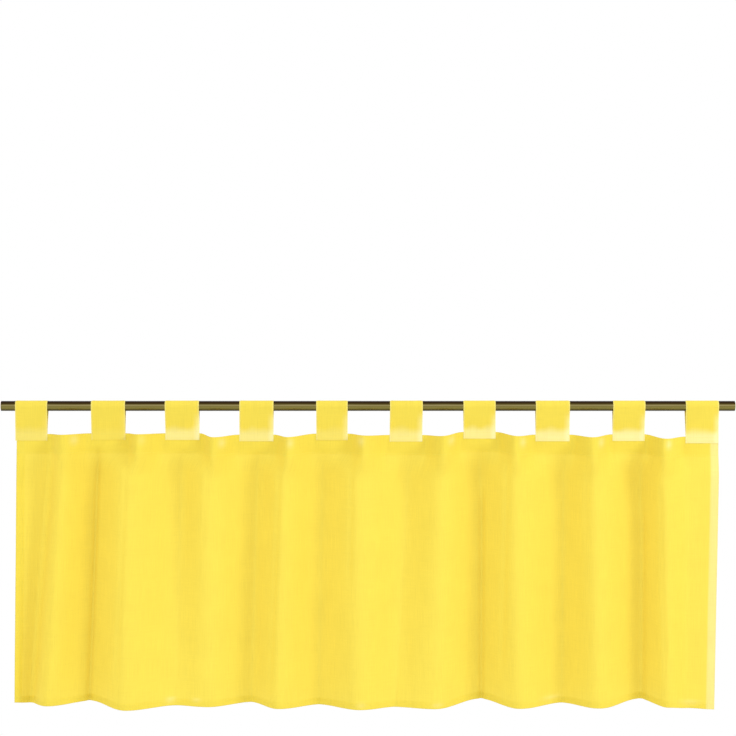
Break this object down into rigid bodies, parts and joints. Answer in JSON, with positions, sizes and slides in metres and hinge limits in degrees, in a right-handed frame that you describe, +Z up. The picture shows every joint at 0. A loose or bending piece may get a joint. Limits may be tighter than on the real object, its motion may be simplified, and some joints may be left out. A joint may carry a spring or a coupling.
{
  "type": "cafe curtain with rod",
  "caption": "Short sheer curtain, gathered into soft upright folds, hanging by sewn tabs from a plain round rod across the lower half of a window.",
  "frame": {"origin": "on the rod's axis at mid-length", "axes": "+X along the rod, to the right of somebody who faces the curtain; -Y out of the curtain's front; +Z up"},
  "size_m": [1.1, 0.0616, 0.4621],
  "materials": {
    "voile": "sheer plain-woven voile, matt with a faint sheen",
    "tab_voile": "the same voile, doubled, edge-stitched",
    "rod_metal": "antique brass, darkened and satin"
  },
  "bodies": {
    "root": {"rod": "rod_metal", "panel": "voile", "tab_01": "tab_voile", "tab_02": "tab_voile", "tab_03": "tab_voile", "tab_04": "tab_voile", "tab_05": "tab_voile", "tab_06": "tab_voile", "tab_07": "tab_voile", "tab_08": "tab_voile", "tab_09": "tab_voile", "tab_10": "tab_voile"}
  },
  "joints": []
}
